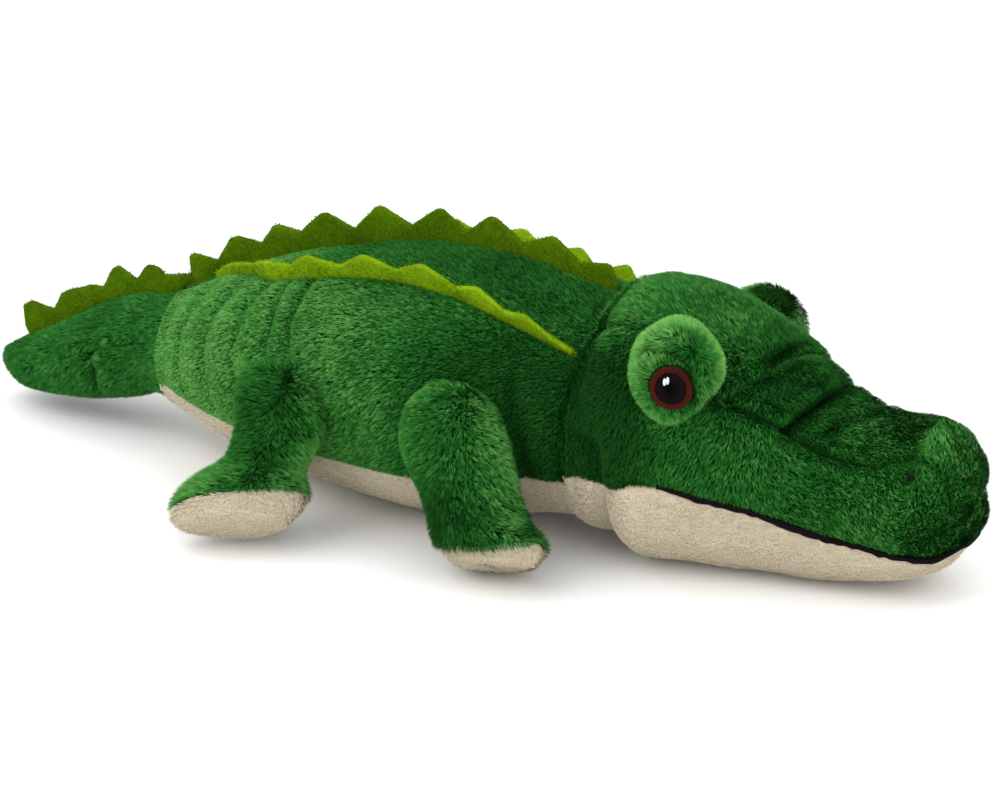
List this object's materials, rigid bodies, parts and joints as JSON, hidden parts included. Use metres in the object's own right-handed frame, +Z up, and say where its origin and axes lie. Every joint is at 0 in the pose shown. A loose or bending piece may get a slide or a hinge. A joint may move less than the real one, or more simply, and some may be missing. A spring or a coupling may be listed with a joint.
{
  "type": "plush crocodile",
  "caption": "Soft toy crocodile lying on its belly, with toothed felt ridges, embroidered eyes on padded mounds, a swinging tail and legs, and a turning head.",
  "frame": {"origin": "on the plane that the toy rests on, under the middle of its length and width", "axes": "+X towards the nose, +Y to the toy's left, +Z up"},
  "size_m": [0.4329, 0.2132, 0.1147],
  "materials": {
    "green_pile": "short green pile fabric, combed in clumps",
    "cream_velour": "cream velour",
    "olive_felt": "olive green felt",
    "fibre": "loose white fibre stuffing",
    "black_thread": "black embroidery and black fabric strip",
    "brown_thread": "red-brown embroidery",
    "white_thread": "white embroidery"
  },
  "bodies": {
    "torso": {"back_panel_left": "green_pile", "back_panel_right": "green_pile", "side_panel_left": "green_pile", "side_panel_right": "green_pile", "belly_panel": "cream_velour", "body_stuffing": "fibre", "spine_ridge_centre": "olive_felt", "spine_ridge_left": "olive_felt", "spine_ridge_right": "olive_felt"},
    "head": {"head_top_panel": "green_pile", "cheek_panel_left": "green_pile", "cheek_panel_right": "green_pile", "jaw_panel": "cream_velour", "mouth_strip": "black_thread", "head_stuffing": "fibre", "eye_mound_left": "green_pile", "eye_mound_right": "green_pile", "iris_left": "brown_thread", "iris_right": "brown_thread", "pupil_left": "black_thread", "pupil_right": "black_thread", "eye_glint_left": "white_thread", "eye_glint_right": "white_thread", "nostril_stitch_left": "black_thread", "nostril_stitch_right": "black_thread"},
    "tail": {"tail_panel_left": "green_pile", "tail_panel_right": "green_pile", "tail_ridge": "olive_felt", "tail_stuffing": "fibre"},
    "leg_front_left": {"leg_cover_front_left": "green_pile", "leg_sole_front_left": "cream_velour", "leg_stuffing_front_left": "fibre"},
    "leg_front_right": {"leg_cover_front_right": "green_pile", "leg_sole_front_right": "cream_velour", "leg_stuffing_front_right": "fibre"},
    "leg_hind_left": {"leg_cover_hind_left": "green_pile", "leg_sole_hind_left": "cream_velour", "leg_stuffing_hind_left": "fibre"},
    "leg_hind_right": {"leg_cover_hind_right": "green_pile", "leg_sole_hind_right": "cream_velour", "leg_stuffing_hind_right": "fibre"}
  },
  "joints": [
    {"name": "head_turn", "type": "hinge", "parent": "torso", "child": "head", "pos_m": [0.0315, 0, 0.05302], "axis": [0, 0, 1], "range_deg": [-10, 10], "stiffness_Nm_per_rad": 0.15},
    {"name": "tail_swing", "type": "hinge", "parent": "torso", "child": "tail", "pos_m": [-0.1232, 0, 0.04098], "axis": [0, 0, 1], "range_deg": [-15, 15], "stiffness_Nm_per_rad": 0.06},
    {"name": "front_left_swing", "type": "hinge", "parent": "torso", "child": "leg_front_left", "pos_m": [0.03385, 0.04732, 0.05001], "axis": [0, 1, 0], "range_deg": [-12, 25], "stiffness_Nm_per_rad": 0.06},
    {"name": "front_right_swing", "type": "hinge", "parent": "torso", "child": "leg_front_right", "pos_m": [0.03385, -0.04732, 0.05001], "axis": [0, 1, 0], "range_deg": [-12, 25], "stiffness_Nm_per_rad": 0.06},
    {"name": "hind_left_swing", "type": "hinge", "parent": "torso", "child": "leg_hind_left", "pos_m": [-0.04026, 0.04889, 0.04799], "axis": [0, 1, 0], "range_deg": [-20, 20], "stiffness_Nm_per_rad": 0.06},
    {"name": "hind_right_swing", "type": "hinge", "parent": "torso", "child": "leg_hind_right", "pos_m": [-0.04026, -0.04889, 0.04799], "axis": [0, 1, 0], "range_deg": [-20, 20], "stiffness_Nm_per_rad": 0.06}
  ]
}
